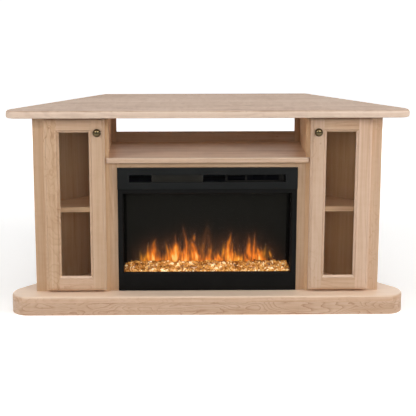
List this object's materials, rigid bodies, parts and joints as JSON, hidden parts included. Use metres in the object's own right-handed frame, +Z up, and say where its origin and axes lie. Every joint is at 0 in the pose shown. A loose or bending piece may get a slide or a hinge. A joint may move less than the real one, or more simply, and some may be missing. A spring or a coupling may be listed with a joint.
{
  "type": "corner fireplace media cabinet",
  "caption": "Corner media cabinet with angled sides, an electric firebox under an open shelf bay, and a glazed cupboard door on each side.",
  "frame": {"origin": "on the floor, under the middle of the whole piece's width and depth", "axes": "X to the viewer's right along the front, the front faces -Y, Z up"},
  "size_m": [1.444, 0.384, 0.76],
  "materials": {
    "maple": "satin lacquer",
    "maple_ply": "satin lacquer",
    "tinted_glass": "bronze tint, polished",
    "clear_glass": "polished",
    "antique_brass": "antiqued",
    "zinc_steel": "nickel plated",
    "black_steel": "matt",
    "black_front": "satin",
    "black_band": "satin",
    "flame_plastic": "frosted",
    "tray_black": "matt",
    "amber_crystal": "crushed",
    "bright_aluminium": "bright",
    "grey_steel": "plain",
    "grille_black": "matt",
    "panel_black": "gloss",
    "button_black": "gloss",
    "gland_black": "matt"
  },
  "bodies": {
    "cabinet": {"back_panel": "maple_ply", "blower_housing": "grey_steel", "cabinet_shelf_left": "maple", "cabinet_shelf_right": "maple", "carcass_screws": "zinc_steel", "control_panel": "panel_black", "cord_gland": "gland_black", "divider_left": "maple", "divider_right": "maple", "ember_crystals": "amber_crystal", "ember_tray": "tray_black", "end_panel_left": "maple", "end_panel_right": "maple", "firebox_band": "black_band", "firebox_frame": "black_front", "firebox_shell": "black_steel", "firebox_surround": "maple", "flame_screen": "flame_plastic", "front_glass": "clear_glass", "heater_element": "grey_steel", "hinge_plates": "zinc_steel", "inner_stile_left": "maple", "inner_stile_right": "maple", "media_shelf": "maple", "outer_stile_left": "maple", "outer_stile_right": "maple", "outlet_grille": "grille_black", "plinth_back_rail": "maple", "plinth_board": "maple", "plinth_front_rail": "maple", "plinth_side_rail_left": "maple", "plinth_side_rail_right": "maple", "rear_shelf_rail": "maple", "rear_stile_left": "maple", "rear_stile_right": "maple", "rear_top_rail": "maple", "rod_motor": "grey_steel", "shelf_nosing": "maple", "shelf_pins": "zinc_steel", "side_back_panel_left": "maple_ply", "side_back_panel_right": "maple_ply", "top_panel": "maple"},
    "left_door": {"door_hinge_stile_left": "maple", "door_knob_stile_left": "maple", "door_top_rail_left": "maple", "door_bottom_rail_left": "maple", "door_glass_left": "tinted_glass", "knob_left": "antique_brass", "hinge_cups_left": "zinc_steel"},
    "right_door": {"door_hinge_stile_right": "maple", "door_knob_stile_right": "maple", "door_top_rail_right": "maple", "door_bottom_rail_right": "maple", "door_glass_right": "tinted_glass", "knob_right": "antique_brass", "hinge_cups_right": "zinc_steel"},
    "flicker_rod": {"flicker_rod": "bright_aluminium"},
    "blower_wheel": {"blower_wheel": "bright_aluminium"},
    "power_button": {"power_button": "button_black"},
    "heat_button": {"heat_button": "button_black"}
  },
  "joints": [
    {"name": "left_door_hinge", "type": "hinge", "parent": "cabinet", "child": "left_door", "pos_m": [-0.598, -0.1255, 0.406], "axis": [0, 0, -1], "range_deg": [0, 105]},
    {"name": "right_door_hinge", "type": "hinge", "parent": "cabinet", "child": "right_door", "pos_m": [0.598, -0.1255, 0.406], "axis": [0, 0, 1], "range_deg": [0, 105]},
    {"name": "flicker_rod_spin", "type": "hinge", "parent": "cabinet", "child": "flicker_rod", "pos_m": [0, 0.036, 0.1295], "axis": [1, 0, 0], "continuous": true},
    {"name": "blower_spin", "type": "hinge", "parent": "cabinet", "child": "blower_wheel", "pos_m": [-0.11, -0.044, 0.4795], "axis": [1, 0, 0], "continuous": true},
    {"name": "power_button_press", "type": "slide", "parent": "cabinet", "child": "power_button", "axis": [0, 1, 0], "range_m": [0, 0.0015], "stiffness_N_per_m": 300},
    {"name": "heat_button_press", "type": "slide", "parent": "cabinet", "child": "heat_button", "axis": [0, 1, 0], "range_m": [0, 0.0015], "stiffness_N_per_m": 300}
  ]
}
